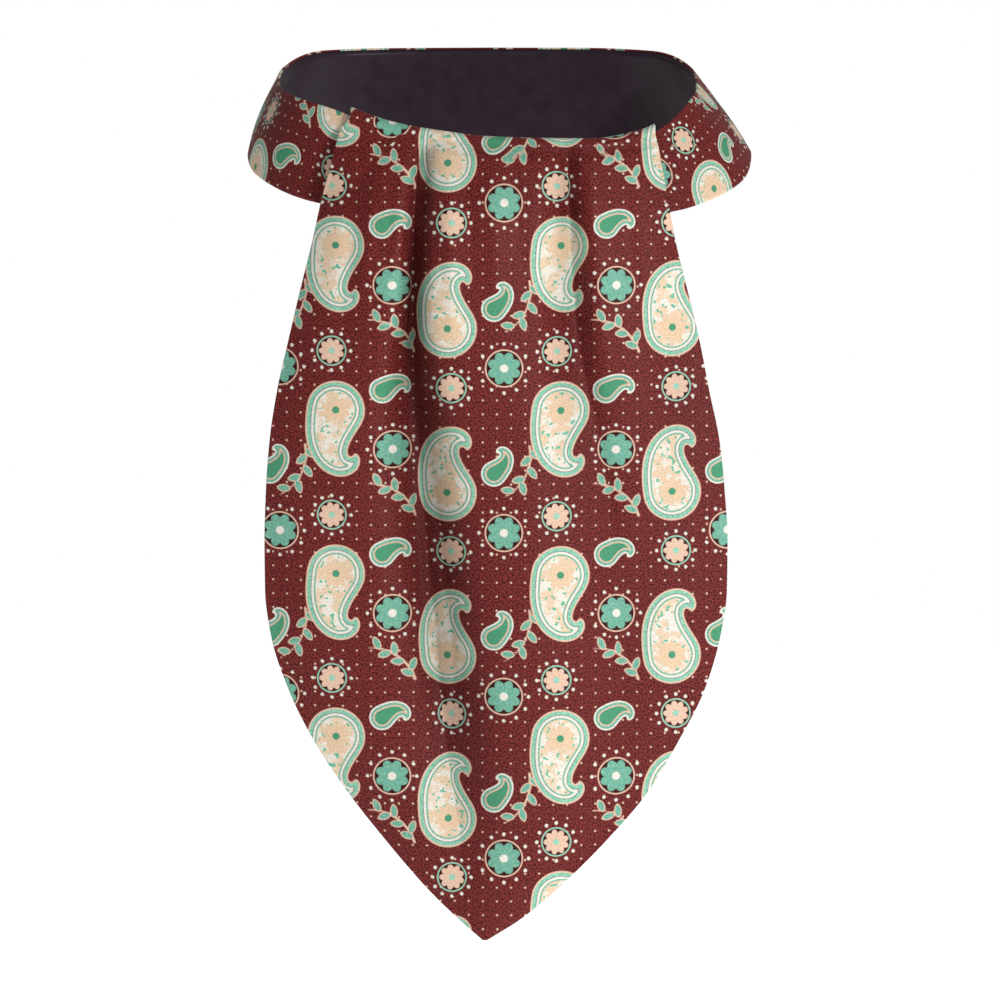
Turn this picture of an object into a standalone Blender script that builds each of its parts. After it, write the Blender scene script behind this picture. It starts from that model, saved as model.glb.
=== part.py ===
"""A silk day cravat, tied and filled out round an unseen neck.

The band goes round the neck and flares down to its hem. Its two front stretches, the wings, cross
at the throat. The front blade comes up inside the ring, rolls over the rim and falls in front of
the crossing, gathered at the top into two pleats. The under blade hangs behind it.

Sizes are in millimetres and become metres as each mesh is made. X runs to the viewer's right, Y
away from the viewer and Z up. The origin is the middle of the neck opening. A bearing is an angle
round the neck: 0 at the nape, 90 at the viewer's left, 180 at the throat and 270 at the right.
"""

import bpy
import numpy as np

MM = 0.001

# The band round the neck, at its top edge (rim) and its lower edge (hem)
RIM_HALF_WIDTH = 71.2
RIM_HALF_DEPTH = 58.0
RIM_CENTRE_X = -2.8
HEM_HALF_WIDTH = 85.2
HEM_HALF_DEPTH_NAPE = 65.0
HEM_HALF_DEPTH_THROAT = 65.0
HEM_CENTRE_X = 1.2
BAND_BELLY = 1.5
SQUARENESS_NAPE = 3.3
SQUARENESS_THROAT = 2.6

# The heights of both edges of the band as they go round the neck: bearing, rim, hem
BAND_EDGES = [
    (0, 14.8, -25.0),
    (30, 14.6, -25.0),
    (50, 13.8, -24.5),
    (70, 8.5, -23.0),
    (90, 4.2, -20.5),
    (110, 0.0, -27.5),
    (130, -5.0, -36.0),
    (150, -13.0, -40.5),
    (165, -16.0, -42.0),
    (180, -17.8, -42.5),
    (195, -18.4, -42.5),
    (212, -18.6, -42.0),
    (228, -15.5, -39.0),
    (238, -10.0, -35.0),
    (250, -2.6, -29.5),
    (270, 2.4, -20.5),
    (290, 8.0, -22.5),
    (310, 13.6, -24.5),
    (330, 14.7, -25.0),
    (360, 14.8, -25.0),
]

# Cloth thicknesses, and the gap between pieces
PRINTED_THICKNESS = 1.2
LINING_THICKNESS = 1.0
GAP = 0.35

# Where the band's pieces begin and end, in bearings
NAPE_HALF_SPREAD = 68.0
SEAM_SPREAD = 0.3
CROSSING_START = 164.0
CROSSING_END = 196.0
CROSSING_LIFT_FROM = 138.0

# How far each layer's middle lies out from the band's inner face, which is 0
WING_OUT = PRINTED_THICKNESS / 2
CROSSED_WING_OUT = WING_OUT + PRINTED_THICKNESS + GAP
LINING_OUT = -GAP - LINING_THICKNESS / 2
RETURN_OUT = LINING_OUT - LINING_THICKNESS / 2 - GAP - PRINTED_THICKNESS / 2
UNDER_BLADE_OUT = CROSSED_WING_OUT + PRINTED_THICKNESS + 2 * GAP
OVER_UNDER_BLADE_OUT = UNDER_BLADE_OUT + PRINTED_THICKNESS + 3 * GAP
LINING_DROP = 1.0

# The roll of the front blade over the rim, and how far its end reaches down inside the ring
ROLL_OUT_END = 4.2
ROLL_RADIUS = (ROLL_OUT_END - RETURN_OUT) / 2
ROLL_MIDDLE_OUT = (ROLL_OUT_END + RETURN_OUT) / 2
RETURN_DEPTHS = (24.0, 18.0, 12.0, 6.0, 2.0)
ROLL_STEPS = 6

# The front blade's outline: drop below the origin, left edge, right edge
BLADE_OUTLINE = [
    (4.0, -48.6, 53.4),
    (12.0, -52.0, 53.6),
    (24.0, -55.2, 55.4),
    (37.0, -58.6, 57.6),
    (50.0, -61.4, 60.0),
    (66.0, -65.4, 63.9),
    (83.0, -69.4, 68.0),
    (100.0, -73.2, 71.3),
    (116.0, -75.6, 74.6),
    (133.0, -76.9, 76.4),
    (150.0, -77.4, 77.4),
    (167.0, -77.2, 77.2),
    (183.0, -75.0, 74.8),
    (200.0, -69.4, 69.8),
    (217.0, -61.0, 61.2),
    (234.0, -49.8, 51.0),
    (250.0, -37.2, 37.4),
    (267.0, -22.4, 20.0),
    (277.0, -12.0, 7.6),
    (283.5, -4.4, -3.0),
]

# How the front blade hangs: drop, its middle's distance in front of the origin, and how far
# its side edges are set back from the middle
BLADE_HANG = [
    (4.0, 60.0, 12.0),
    (15.0, 66.0, 13.5),
    (28.0, 72.5, 14.0),
    (42.0, 77.0, 14.0),
    (70.0, 79.5, 13.5),
    (110.0, 80.5, 13.0),
    (180.0, 79.5, 12.0),
    (240.0, 77.5, 8.0),
    (283.5, 76.0, 1.0),
]
BLADE_CROWN_POWER = 2.2
RIM_FOLLOWED_TO = 60.0

# The pleats pressed into the blade, as troughs: drop, middle's x, half width, depth
LEFT_PLEAT = [
    (8.0, -23.2, 2.4, 0.7),
    (20.0, -24.0, 2.6, 3.0),
    (42.0, -25.8, 3.0, 5.4),
    (70.0, -27.6, 3.8, 6.0),
    (90.0, -28.8, 6.0, 5.2),
    (125.0, -27.0, 10.0, 4.0),
    (175.0, -20.0, 12.0, 2.6),
    (235.0, -6.0, 12.0, 0.8),
    (283.5, -4.0, 12.0, 0.0),
]
RIGHT_PLEAT = [
    (8.0, 23.8, 2.6, 0.6),
    (20.0, 24.0, 3.2, 2.2),
    (42.0, 24.4, 4.4, 3.6),
    (80.0, 25.4, 7.0, 3.2),
    (120.0, 28.0, 10.0, 1.6),
    (165.0, 31.0, 12.0, 0.0),
    (283.5, 31.0, 12.0, 0.0),
]
SIDE_FOLD = [
    (8.0, 62.0, 8.0, 0.0),
    (60.0, 62.0, 8.0, 0.0),
    (100.0, 62.0, 9.0, 1.6),
    (150.0, 60.0, 12.0, 0.0),
    (283.5, 60.0, 12.0, 0.0),
]
PLEATS = (LEFT_PLEAT, RIGHT_PLEAT, SIDE_FOLD)

BLADE_COLUMNS = 33
BLADE_DROPS = (
    [22.0, 26.0, 31.0, 37.0, 44.0, 52.0, 61.0, 71.0, 82.0, 94.0, 107.0, 120.0, 133.0, 146.0]
    + [159.0, 171.0, 182.0, 192.0, 201.0, 210.0, 219.0, 228.0, 237.0, 246.0, 255.0, 263.0, 271.0]
    + [277.5, 283.5]
)
COLUMN_CROWDING = 2.2
COLUMN_CROWDING_REACH = 0.07
CROWDED_PLACES = (0.25, 0.71)

# The under blade: the front blade's outline, narrower and shorter
UNDER_BLADE_TOP = 33.0
UNDER_BLADE_TIP = 259.0
UNDER_BLADE_WIDTH = 0.86
UNDER_BLADE_COLUMNS = 25
UNDER_BLADE_ROWS = 20
UNDER_BLADE_HANG = [
    (33.0, 0.0, 11.0),
    (50.0, 68.5, 11.5),
    (90.0, 67.5, 11.5),
    (160.0, 66.0, 11.0),
    (259.0, 64.5, 1.5),
]

# The colours of the cloth, as linear values
MAROON = (0.115, 0.028, 0.025)
PLUM = (0.034, 0.024, 0.032)


def smooth(rows, column, at):
    """A smooth curve through one column of a table against its first, level at turning points."""
    keys = np.array([row[0] for row in rows], dtype=float)
    values = np.array([row[column] for row in rows], dtype=float)
    step = np.diff(keys)
    slope = np.diff(values) / step
    product = slope[:-1] * slope[1:]
    total = np.where(product > 0, slope[:-1] + slope[1:], 1.0)
    tangent = np.concatenate([slope[:1], np.where(product > 0, 2 * product / total, 0.0), slope[-1:]])
    at = np.clip(np.asarray(at, dtype=float), keys[0], keys[-1])
    place = np.clip(np.searchsorted(keys, at, side="right") - 1, 0, len(step) - 1)
    part = (at - keys[place]) / step[place]
    rise = values[place + 1] - values[place]
    start = tangent[place] * step[place]
    end = tangent[place + 1] * step[place]
    return (
        values[place]
        + part * start
        + part**2 * (3 * rise - 2 * start - end)
        + part**3 * (start + end - 2 * rise)
    )


def mix(first, second, part):
    return first + (second - first) * part


def ease(low, high, value):
    """From 0 at low to 1 at high, smoothly."""
    part = np.clip((value - low) / (high - low), 0.0, 1.0)
    return part * part * (3 - 2 * part)


def band_point(bearing, down):
    """A point on the band's inner face: down is 0 at the rim and 1 at the hem."""
    angle = np.radians(bearing)
    napeward = (1 + np.cos(angle)) / 2
    squareness = mix(SQUARENESS_THROAT, SQUARENESS_NAPE, napeward)
    hem_depth = mix(HEM_HALF_DEPTH_THROAT, HEM_HALF_DEPTH_NAPE, napeward)
    belly = BAND_BELLY * np.sin(np.pi * down)
    half_width = mix(RIM_HALF_WIDTH, HEM_HALF_WIDTH, down) + belly
    half_depth = mix(RIM_HALF_DEPTH, hem_depth, down)
    across = np.abs(np.sin(angle)) / half_width
    along = np.abs(np.cos(angle)) / half_depth
    reach = (across**squareness + along**squareness) ** (-1 / squareness)
    x = mix(RIM_CENTRE_X, HEM_CENTRE_X, down) - reach * np.sin(angle)
    y = reach * np.cos(angle)
    z = mix(smooth(BAND_EDGES, 1, bearing), smooth(BAND_EDGES, 2, bearing), down)
    return np.stack([x, y, z], axis=-1)


def throat_bearing(x, down):
    """The bearing on the front of the band where it passes x."""
    low = np.full_like(x, 95.0)
    high = np.full_like(x, 265.0)
    for _ in range(30):
        middle = (low + high) / 2
        left_of_it = band_point(middle, down)[..., 0] < x
        low = np.where(left_of_it, middle, low)
        high = np.where(left_of_it, high, middle)
    return (low + high) / 2


def throat_depth(x, z):
    """How far the band's inner face lies in front of the origin at x and z, held past its edges."""
    down = np.full_like(x, 0.5)
    for _ in range(8):
        bearing = throat_bearing(x, down)
        rim = smooth(BAND_EDGES, 1, bearing)
        hem = smooth(BAND_EDGES, 2, bearing)
        down = np.clip((rim - z) / (rim - hem), 0.0, 1.0)
    return -band_point(throat_bearing(x, down), down)[..., 1]


def facing(points, round_the_neck=False):
    """The direction that each point of a grid faces, out from the neck."""
    down_step = np.gradient(points, axis=0)
    if round_the_neck:
        across_step = (np.roll(points, -1, axis=1) - np.roll(points, 1, axis=1)) / 2
    else:
        across_step = np.gradient(points, axis=1)
    face = np.cross(down_step, across_step)
    return face / np.linalg.norm(face, axis=-1, keepdims=True)


def band_grid(bearings, downs, out, round_the_neck=False):
    """Points on the band between two bearings, moved out from its inner face."""
    bearing, down = np.meshgrid(bearings, downs)
    points = band_point(bearing % 360.0, down)
    moved = np.broadcast_to(out, bearing.shape)[..., None]
    return points + facing(points, round_the_neck) * moved


def pleat_depth(x, drop):
    """How deep the pleats press the front blade in, at x and this far below the origin."""
    depth = np.zeros_like(x)
    for pleat in PLEATS:
        away = (x - smooth(pleat, 1, drop)) / smooth(pleat, 2, drop)
        depth = depth + smooth(pleat, 3, drop) * np.exp(-(away**2))
    return depth


def blade_x(part, drop):
    """Across the front blade, from part 0 at its left edge to part 1 at its right."""
    return mix(smooth(BLADE_OUTLINE, 1, drop), smooth(BLADE_OUTLINE, 2, drop), part)


def hang_depth(part, hang, drop):
    """A hanging blade's distance in front of the origin, set back towards its side edges."""
    off_centre = np.abs(2 * part - 1)
    return smooth(hang, 1, drop) - smooth(hang, 2, drop) * off_centre**BLADE_CROWN_POWER


def column_places():
    """Where the front blade's columns lie, from 0 to 1, closer together at the pleats."""
    fine = np.linspace(0.0, 1.0, 400)
    crowding = np.ones_like(fine)
    for place in CROWDED_PLACES:
        crowding += COLUMN_CROWDING * np.exp(-(((fine - place) / COLUMN_CROWDING_REACH) ** 2))
    passed = np.cumsum(crowding)
    passed = (passed - passed[0]) / (passed[-1] - passed[0])
    return np.interp(np.linspace(0.0, 1.0, BLADE_COLUMNS), passed, fine)


def band_section(x, down):
    """The band's inner face at x, and how much wider its layers measure there along Y."""
    bearing = throat_bearing(x, down)
    here = band_point(bearing, down)
    run = band_point(bearing + 0.5, down) - here
    widening = np.hypot(run[:, 0], run[:, 1]) / np.abs(run[:, 0])
    return here, widening


def front_blade_grid():
    """The front blade's middle surface: up inside the ring, over the rim and down to the tip."""
    parts = column_places()
    x_top = blade_x(parts, np.full_like(parts, BLADE_OUTLINE[0][0]))
    rim, widening = band_section(x_top, np.zeros_like(x_top))
    rows = []
    for depth in RETURN_DEPTHS:
        inside = throat_depth(x_top, rim[:, 2] - depth)
        y = -inside - RETURN_OUT * widening
        rows.append(np.stack([x_top, y, rim[:, 2] - depth], axis=-1))
    for angle in np.linspace(np.pi, 0.0, ROLL_STEPS + 1):
        out = ROLL_MIDDLE_OUT + ROLL_RADIUS * np.cos(angle)
        y = rim[:, 1] - out * widening
        z = rim[:, 2] + ROLL_RADIUS * np.sin(angle)
        drop = np.full_like(x_top, BLADE_OUTLINE[0][0])
        y = y + pleat_depth(x_top, drop) * ease(-0.5, 1.0, np.cos(angle))
        rows.append(np.stack([x_top, y, z], axis=-1))
    for drop in BLADE_DROPS:
        level = np.full_like(parts, drop)
        follows_rim = 1 - ease(BLADE_DROPS[0], RIM_FOLLOWED_TO, drop)
        z = -level + follows_rim * (rim[:, 2] - rim[:, 2].min())
        x = blade_x(parts, -z)
        covers_under_blade = ease(BLADE_DROPS[0], UNDER_BLADE_TOP - 3.0, drop)
        resting_out = mix(ROLL_OUT_END, OVER_UNDER_BLADE_OUT, covers_under_blade)
        resting = throat_depth(x, z) + resting_out * widening
        hanging = hang_depth(parts, BLADE_HANG, -z) - pleat_depth(x, -z)
        y = -np.maximum(hanging, resting)
        rows.append(np.stack([x, y, z], axis=-1))
    return np.array(rows)


def under_blade_grid():
    """The under blade's middle surface, from its seam on the crossing down to its tip."""
    parts = np.linspace(0.0, 1.0, UNDER_BLADE_COLUMNS)
    blade_tip = BLADE_OUTLINE[-1][0]
    rows = []
    for down in np.linspace(0.0, 1.0, UNDER_BLADE_ROWS):
        drop = mix(UNDER_BLADE_TOP, UNDER_BLADE_TIP, down)
        level = np.full_like(parts, drop)
        outline_drop = mix(UNDER_BLADE_TOP, blade_tip, down)
        left = smooth(BLADE_OUTLINE, 1, outline_drop) * UNDER_BLADE_WIDTH
        right = smooth(BLADE_OUTLINE, 2, outline_drop) * UNDER_BLADE_WIDTH
        x = mix(left, right, parts)
        hanging = hang_depth(parts, UNDER_BLADE_HANG, level)
        widening = band_section(x, np.ones_like(x))[1]
        resting = throat_depth(x, -level) + UNDER_BLADE_OUT * widening
        y = -np.maximum(hanging, resting)
        rows.append(np.stack([x, y, -level], axis=-1))
    return np.array(rows)


def cloth_material(name, colour, roughness):
    material = bpy.data.materials.new(name)
    material.use_nodes = True
    shader = material.node_tree.nodes["Principled BSDF"]
    shader.inputs["Base Color"].default_value = (*colour, 1.0)
    shader.inputs["Roughness"].default_value = roughness
    return material


def cloth_wall(name, points, thickness, material, round_the_neck=False):
    """One piece of cloth: a grid of points, given a wall's thickness about it."""
    row_count, column_count = points.shape[:2]
    vertices = [tuple(point * MM) for row in points for point in row]
    strips = column_count if round_the_neck else column_count - 1
    faces = []
    for row in range(row_count - 1):
        for column in range(strips):
            beside = (column + 1) % column_count
            here = row * column_count
            below = here + column_count
            faces.append((here + column, below + column, below + beside, here + beside))
    mesh = bpy.data.meshes.new(name)
    mesh.from_pydata(vertices, [], faces)
    mesh.update()
    mesh.shade_smooth()
    mesh.materials.append(material)
    piece = bpy.data.objects.new(name, mesh)
    bpy.context.scene.collection.objects.link(piece)
    wall = piece.modifiers.new("wall", "SOLIDIFY")
    wall.thickness = thickness * MM
    wall.offset = 0.0
    return piece


def crossing_lift(bearings):
    """The left wing rises from the inner layer to lie over the right one at the throat."""
    return mix(WING_OUT, CROSSED_WING_OUT, ease(CROSSING_LIFT_FROM, CROSSING_START - 3.0, bearings))


def make_band(printed, plum):
    """The ring: nape stretch, both wings and the lining inside them."""
    downs = np.linspace(0.0, 1.0, 6)
    nape = np.linspace(-NAPE_HALF_SPREAD, NAPE_HALF_SPREAD, 25)
    cloth_wall("neckband", band_grid(nape, downs, WING_OUT), PRINTED_THICKNESS, printed)
    left = np.linspace(NAPE_HALF_SPREAD + SEAM_SPREAD, CROSSING_END, 29)
    left_wing = band_grid(left, downs, crossing_lift(left))
    cloth_wall("wing_left", left_wing, PRINTED_THICKNESS, printed)
    right = np.linspace(CROSSING_START, 360 - NAPE_HALF_SPREAD - SEAM_SPREAD, 29)
    right_wing = band_grid(right, downs, WING_OUT)
    cloth_wall("wing_right", right_wing, PRINTED_THICKNESS, printed)
    band_height = BAND_EDGES[0][1] - BAND_EDGES[0][2]
    lined = np.linspace(LINING_DROP, band_height - LINING_DROP, 6) / band_height
    all_round = np.linspace(0.0, 360.0, 60, endpoint=False)
    lining = band_grid(all_round, lined, LINING_OUT, round_the_neck=True)
    cloth_wall("neckband_lining", lining, LINING_THICKNESS, plum, round_the_neck=True)


def make_blades(printed):
    """The front blade, and the under blade behind it."""
    cloth_wall("front_blade", front_blade_grid(), PRINTED_THICKNESS, printed)
    cloth_wall("under_blade", under_blade_grid(), PRINTED_THICKNESS, printed)


def main():
    for leftover in list(bpy.data.objects):
        bpy.data.objects.remove(leftover)
    printed = cloth_material("printed_silk", MAROON, 0.5)
    plum = cloth_material("plum_satin", PLUM, 0.4)
    make_band(printed, plum)
    make_blades(printed)


main()
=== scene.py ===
"""The looks of the silk day cravat: printed twill silk and a plum satin lining.

Shapes are in millimetres in the part's own frame and become metres as each mesh is made. The print is
a generic paisley of common motifs, worked out by formula on a repeat of its own. It is drawn on a flat
chart that follows the cloth, in units of 0.3348 mm, with y down.
"""

import bpy
import numpy as np
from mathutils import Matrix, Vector


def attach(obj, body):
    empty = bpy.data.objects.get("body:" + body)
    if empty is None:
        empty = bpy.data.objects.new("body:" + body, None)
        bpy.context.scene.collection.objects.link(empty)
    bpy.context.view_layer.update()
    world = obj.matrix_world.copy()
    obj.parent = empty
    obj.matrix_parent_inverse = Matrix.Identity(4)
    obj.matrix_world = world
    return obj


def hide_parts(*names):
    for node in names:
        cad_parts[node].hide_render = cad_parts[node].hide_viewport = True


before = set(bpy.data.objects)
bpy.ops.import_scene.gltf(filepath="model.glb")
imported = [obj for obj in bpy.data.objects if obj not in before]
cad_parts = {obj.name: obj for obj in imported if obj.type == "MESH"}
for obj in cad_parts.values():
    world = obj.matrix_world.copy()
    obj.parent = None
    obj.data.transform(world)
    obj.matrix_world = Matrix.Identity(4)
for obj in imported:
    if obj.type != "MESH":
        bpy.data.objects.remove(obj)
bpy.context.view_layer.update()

MM = 0.001

# The band round the neck, at its top edge (rim) and its lower edge (hem)
RIM_HALF_WIDTH = 71.2
RIM_HALF_DEPTH = 58.0
RIM_CENTRE_X = -2.8
HEM_HALF_WIDTH = 85.2
HEM_HALF_DEPTH = 65.0
HEM_CENTRE_X = 1.2
BAND_BELLY = 1.5
SQUARENESS_NAPE = 3.3
SQUARENESS_THROAT = 2.6

# The heights of both edges of the band as they go round the neck: bearing, rim, hem
BAND_EDGES = [
    (0, 14.8, -25.0),
    (30, 14.6, -25.0),
    (50, 13.8, -24.5),
    (70, 8.5, -23.0),
    (90, 4.2, -20.5),
    (110, 0.0, -27.5),
    (130, -5.0, -36.0),
    (150, -13.0, -40.5),
    (165, -16.0, -42.0),
    (180, -17.8, -42.5),
    (195, -18.4, -42.5),
    (212, -18.6, -42.0),
    (228, -15.5, -39.0),
    (238, -10.0, -35.0),
    (250, -2.6, -29.5),
    (270, 2.4, -20.5),
    (290, 8.0, -22.5),
    (310, 13.6, -24.5),
    (330, 14.7, -25.0),
    (360, 14.8, -25.0),
]

# Cloth thicknesses, the gap between pieces, and where the band's pieces begin and end
PRINTED_THICKNESS = 1.2
LINING_THICKNESS = 1.0
GAP = 0.35
NAPE_HALF_SPREAD = 68.0
SEAM_SPREAD = 0.3
CROSSING_START = 164.0
CROSSING_END = 196.0
CROSSING_LIFT_FROM = 138.0
CROSSING_SETTLES = 3.0

# How far each layer's middle lies out from the band's inner face, which is 0
WING_OUT = PRINTED_THICKNESS / 2
CROSSED_WING_OUT = WING_OUT + PRINTED_THICKNESS + GAP
LINING_OUT = -GAP - LINING_THICKNESS / 2
RETURN_OUT = LINING_OUT - LINING_THICKNESS / 2 - GAP - PRINTED_THICKNESS / 2
UNDER_BLADE_OUT = CROSSED_WING_OUT + PRINTED_THICKNESS + 2 * GAP
OVER_UNDER_BLADE_OUT = UNDER_BLADE_OUT + PRINTED_THICKNESS + 3 * GAP
LINING_DROP = 1.0
ROLL_OUT_END = 4.2
ROLL_RADIUS = (ROLL_OUT_END - RETURN_OUT) / 2
ROLL_MIDDLE_OUT = (ROLL_OUT_END + RETURN_OUT) / 2

# The front blade's outline: drop below the origin, left edge, right edge
BLADE_OUTLINE = [
    (4.0, -48.6, 53.4),
    (12.0, -52.0, 53.6),
    (24.0, -55.2, 55.4),
    (37.0, -58.6, 57.6),
    (50.0, -61.4, 60.0),
    (66.0, -65.4, 63.9),
    (83.0, -69.4, 68.0),
    (100.0, -73.2, 71.3),
    (116.0, -75.6, 74.6),
    (133.0, -76.9, 76.4),
    (150.0, -77.4, 77.4),
    (167.0, -77.2, 77.2),
    (183.0, -75.0, 74.8),
    (200.0, -69.4, 69.8),
    (217.0, -61.0, 61.2),
    (234.0, -49.8, 51.0),
    (250.0, -37.2, 37.4),
    (267.0, -22.4, 20.0),
    (277.0, -12.0, 7.6),
    (283.5, -4.4, -3.0),
]

# How the front blade hangs: drop, its middle's distance in front of the origin, and how far
# its side edges are set back from the middle
BLADE_HANG = [
    (4.0, 60.0, 12.0),
    (15.0, 66.0, 13.5),
    (28.0, 72.5, 14.0),
    (42.0, 77.0, 14.0),
    (70.0, 79.5, 13.5),
    (110.0, 80.5, 13.0),
    (180.0, 79.5, 12.0),
    (240.0, 77.5, 8.0),
    (283.5, 76.0, 1.0),
]
BLADE_CROWN_POWER = 2.2
RIM_FOLLOWED_TO = 60.0
BLADE_FALL_FROM = 22.0
COVERS_ABOVE = 3.0
ROLL_PLEATED = (-0.5, 1.0)

# The search for the band's bearing at a place on the throat, in degrees and rounds
THROAT_FROM = 95.0
THROAT_TO = 265.0
HALVINGS = 20
DEPTH_ROUNDS = 5
SHORT_TURN = 0.5

# The pleats pressed into the blade, as troughs: drop, middle's x, half width, depth
LEFT_PLEAT = [
    (8.0, -23.2, 2.4, 0.7),
    (20.0, -24.0, 2.6, 3.0),
    (42.0, -25.8, 3.0, 5.4),
    (70.0, -27.6, 3.8, 6.0),
    (90.0, -28.8, 6.0, 5.2),
    (125.0, -27.0, 10.0, 4.0),
    (175.0, -20.0, 12.0, 2.6),
    (235.0, -6.0, 12.0, 0.8),
    (283.5, -4.0, 12.0, 0.0),
]
RIGHT_PLEAT = [
    (8.0, 23.8, 2.6, 0.6),
    (20.0, 24.0, 3.2, 2.2),
    (42.0, 24.4, 4.4, 3.6),
    (80.0, 25.4, 7.0, 3.2),
    (120.0, 28.0, 10.0, 1.6),
    (165.0, 31.0, 12.0, 0.0),
    (283.5, 31.0, 12.0, 0.0),
]
SIDE_FOLD = [
    (8.0, 62.0, 8.0, 0.0),
    (60.0, 62.0, 8.0, 0.0),
    (100.0, 62.0, 9.0, 1.6),
    (150.0, 60.0, 12.0, 0.0),
    (283.5, 60.0, 12.0, 0.0),
]
PLEATS = (LEFT_PLEAT, RIGHT_PLEAT, SIDE_FOLD)

# The under blade: the front blade's outline, narrower and shorter
UNDER_BLADE_TOP = 33.0
UNDER_BLADE_TIP = 259.0
UNDER_BLADE_WIDTH = 0.86
UNDER_BLADE_HANG = [
    (33.0, 0.0, 11.0),
    (50.0, 68.5, 11.5),
    (90.0, 67.5, 11.5),
    (160.0, 66.0, 11.0),
    (259.0, 64.5, 1.5),
]

# The camera: the view's middle on the blade, and how far off and how high it stands
VIEW_MIDDLE = Vector((0.00134, -0.078, -0.1357))
VIEW_DISTANCE = 3.0
VIEW_ELEVATION = np.radians(3.0)
SENSOR_WIDTH = 36.0
VIEW_WIDTH = 0.3348

# The light: how strongly the white world lights the cloth, and the soft key light on the right
AMBIENT_STRENGTH = 0.3
KEY_PLACE = (1.55, -2.2, 0.95)
KEY_SIZE = 0.55
KEY_ENERGY = 65.0
FLOOR_SIZE = 6.0
FLOOR_HEIGHT = -0.4
FLOOR_GLOW = 0.95

# The chart of the print: one unit of it in millimetres, and where on it a blade's point at x 0
# and at the height BLADE_CHART_Z lies
UNIT = 0.3348
BLADE_CHART_X = 496.0
BLADE_CHART_Y = 500.0
BLADE_CHART_Z = -135.7


def smooth(rows, column, at):
    """A smooth curve through one column of a table against its first, level at turning points."""
    keys = np.array([row[0] for row in rows], dtype=float)
    values = np.array([row[column] for row in rows], dtype=float)
    step = np.diff(keys)
    slope = np.diff(values) / step
    product = slope[:-1] * slope[1:]
    total = np.where(product > 0, slope[:-1] + slope[1:], 1.0)
    tangent = np.concatenate([slope[:1], np.where(product > 0, 2 * product / total, 0.0), slope[-1:]])
    at = np.clip(np.asarray(at, dtype=float), keys[0], keys[-1])
    place = np.clip(np.searchsorted(keys, at, side="right") - 1, 0, len(step) - 1)
    part = (at - keys[place]) / step[place]
    rise = values[place + 1] - values[place]
    start = tangent[place] * step[place]
    end = tangent[place + 1] * step[place]
    return (
        values[place]
        + part * start
        + part**2 * (3 * rise - 2 * start - end)
        + part**3 * (start + end - 2 * rise)
    )


def mix(first, second, part):
    return first + (second - first) * part


def ease(low, high, value):
    """From 0 at low to 1 at high, smoothly."""
    part = np.clip((value - low) / (high - low), 0.0, 1.0)
    return part * part * (3 - 2 * part)


def band_point(bearing, down):
    """A point on the band's inner face: down is 0 at the rim and 1 at the hem."""
    angle = np.radians(bearing)
    napeward = (1 + np.cos(angle)) / 2
    squareness = mix(SQUARENESS_THROAT, SQUARENESS_NAPE, napeward)
    belly = BAND_BELLY * np.sin(np.pi * down)
    half_width = mix(RIM_HALF_WIDTH, HEM_HALF_WIDTH, down) + belly
    half_depth = mix(RIM_HALF_DEPTH, HEM_HALF_DEPTH, down)
    across = np.abs(np.sin(angle)) / half_width
    along = np.abs(np.cos(angle)) / half_depth
    reach = (across**squareness + along**squareness) ** (-1 / squareness)
    x = mix(RIM_CENTRE_X, HEM_CENTRE_X, down) - reach * np.sin(angle)
    y = reach * np.cos(angle)
    z = mix(smooth(BAND_EDGES, 1, bearing), smooth(BAND_EDGES, 2, bearing), down)
    return np.stack([x, y, z], axis=-1)


def throat_bearing(x, down):
    """The bearing on the front of the band where it passes x."""
    low = np.full_like(x, THROAT_FROM)
    high = np.full_like(x, THROAT_TO)
    for _ in range(HALVINGS):
        middle = (low + high) / 2
        left_of_it = band_point(middle, down)[..., 0] < x
        low = np.where(left_of_it, middle, low)
        high = np.where(left_of_it, high, middle)
    return (low + high) / 2


def throat_depth(x, z):
    """How far the band's inner face lies in front of the origin at x and z, held past its edges."""
    down = np.full_like(x, 0.5)
    for _ in range(DEPTH_ROUNDS):
        bearing = throat_bearing(x, down)
        rim = smooth(BAND_EDGES, 1, bearing)
        hem = smooth(BAND_EDGES, 2, bearing)
        down = np.clip((rim - z) / (rim - hem), 0.0, 1.0)
    return -band_point(throat_bearing(x, down), down)[..., 1]


def facing(points, round_the_neck=False):
    """The direction that each point of a grid faces, out from the neck."""
    down_step = np.gradient(points, axis=0)
    if round_the_neck:
        across_step = (np.roll(points, -1, axis=1) - np.roll(points, 1, axis=1)) / 2
    else:
        across_step = np.gradient(points, axis=1)
    face = np.cross(down_step, across_step)
    return face / np.linalg.norm(face, axis=-1, keepdims=True)


def band_grid(bearings, downs, out, round_the_neck=False):
    """Points on the band between two bearings, moved out from its inner face."""
    bearing, down = np.meshgrid(bearings, downs)
    points = band_point(bearing % 360.0, down)
    moved = np.broadcast_to(out, bearing.shape)[..., None]
    return points + facing(points, round_the_neck) * moved


def crossing_lift(bearings):
    """The left wing rises from the inner layer to lie over the right one at the throat."""
    settled = CROSSING_START - CROSSING_SETTLES
    return mix(WING_OUT, CROSSED_WING_OUT, ease(CROSSING_LIFT_FROM, settled, bearings))


def pleat_depth(x, drop):
    """How deep the pleats press the front blade in, at x and this far below the origin."""
    depth = np.zeros_like(x)
    for pleat in PLEATS:
        away = (x - smooth(pleat, 1, drop)) / smooth(pleat, 2, drop)
        depth = depth + smooth(pleat, 3, drop) * np.exp(-(away**2))
    return depth


def blade_x(part, drop):
    """Across the front blade, from part 0 at its left edge to part 1 at its right."""
    return mix(smooth(BLADE_OUTLINE, 1, drop), smooth(BLADE_OUTLINE, 2, drop), part)


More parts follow.
